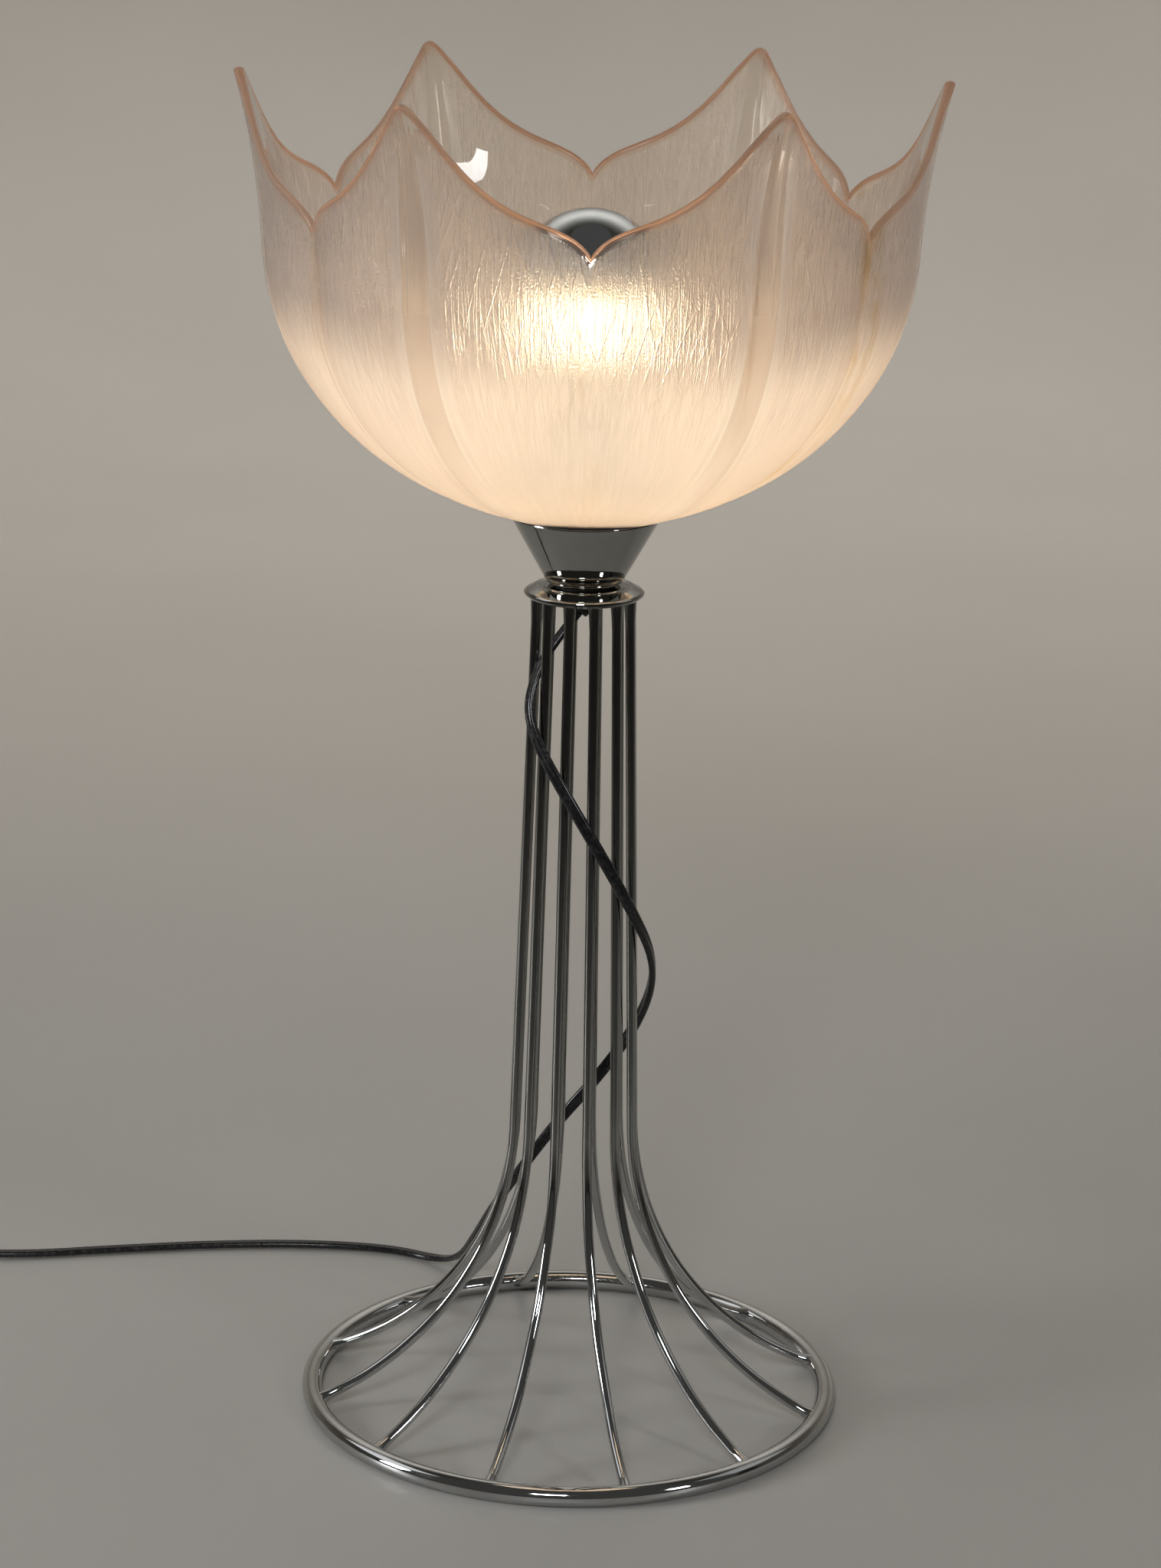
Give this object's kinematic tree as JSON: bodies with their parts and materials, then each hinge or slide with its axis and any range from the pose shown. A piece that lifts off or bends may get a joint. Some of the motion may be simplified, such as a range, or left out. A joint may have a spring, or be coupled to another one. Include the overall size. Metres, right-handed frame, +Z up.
{
  "type": "table lamp",
  "caption": "Table lamp with a petalled pressed-glass bowl on a flared column of chrome wires, a ring foot, a crown-silvered bulb and a corded switch and plug.",
  "frame": {"origin": "on the floor under the lamp's axis, at the centre of the ring foot", "axes": "+Z up along the column, -Y to the front as pictured, +X to the right"},
  "size_m": [0.5495, 0.2671, 0.5395],
  "materials": {
    "chrome_plate": "polished chrome plate",
    "zinc_steel": "zinc-plated steel",
    "black_rubber": "matt black rubber or fibre",
    "black_bakelite": "moulded black thermoset",
    "porcelain": "white glazed ceramic",
    "brass": "bright brass",
    "shade_glass": "clear pressed glass, finely etched, faint rose",
    "bulb_glass": "clear thin glass",
    "crown_mirror": "silvered crown",
    "cap_metal": "nickel-plated cap",
    "black_glass": "black glass insulator",
    "tungsten": "glowing wire",
    "black_flex": "glossy black vinyl",
    "black_plastic": "glossy black moulding",
    "pin_metal": "nickel-plated brass pins"
  },
  "bodies": {
    "stand": {"base_ring": "chrome_plate", "rod_01": "chrome_plate", "rod_02": "chrome_plate", "rod_03": "chrome_plate", "rod_04": "chrome_plate", "rod_05": "chrome_plate", "rod_06": "chrome_plate", "rod_07": "chrome_plate", "rod_08": "chrome_plate", "rod_09": "chrome_plate", "rod_10": "chrome_plate", "rod_11": "chrome_plate", "rod_12": "chrome_plate", "collar_disc": "chrome_plate", "lower_nut": "zinc_steel", "cup_washer": "black_rubber", "shade_cup": "chrome_plate", "upper_nut": "zinc_steel", "threaded_stem": "zinc_steel", "cord_grommet": "black_rubber", "holder_cap": "black_bakelite", "holder_sleeve": "black_bakelite", "holder_insulator": "porcelain", "screw_shell": "brass", "centre_contact": "brass", "terminal_screws": "brass", "shade_gasket": "black_rubber", "glass_shade": "shade_glass", "shade_washer": "black_rubber", "cord_lead": "black_flex", "cord_link": "black_flex", "cord_coil": "black_flex", "cord_tail": "black_flex", "switch_base": "black_plastic", "switch_cover": "black_plastic", "rocker_pin": "zinc_steel", "switch_screws": "zinc_steel", "plug_body": "black_plastic", "plug_pins": "pin_metal", "plug_relief": "black_plastic"},
    "ring_nut": {"shade_ring": "black_bakelite"},
    "bulb": {"bulb_envelope": "bulb_glass", "bulb_mirror": "crown_mirror", "bulb_cap": "cap_metal", "bulb_insulator": "black_glass", "bulb_contact": "cap_metal", "bulb_stem": "bulb_glass", "bulb_filament": "tungsten"},
    "rocker": {"switch_rocker": "black_plastic"}
  },
  "joints": [
    {"name": "ring_nut_turn", "type": "hinge", "parent": "stand", "child": "ring_nut", "pos_m": [0, 0, 0.382], "axis": [0, 0, 1], "range_deg": [0, 720]},
    {"name": "bulb_lift", "type": "slide", "parent": "stand", "child": "bulb", "axis": [0, 0, 1], "range_m": [0, 0.018]},
    {"name": "rocker_tilt", "type": "hinge", "parent": "stand", "child": "rocker", "pos_m": [-0.329, 0.123, 0.0075], "axis": [0, -1, 0], "range_deg": [0, 16]}
  ]
}
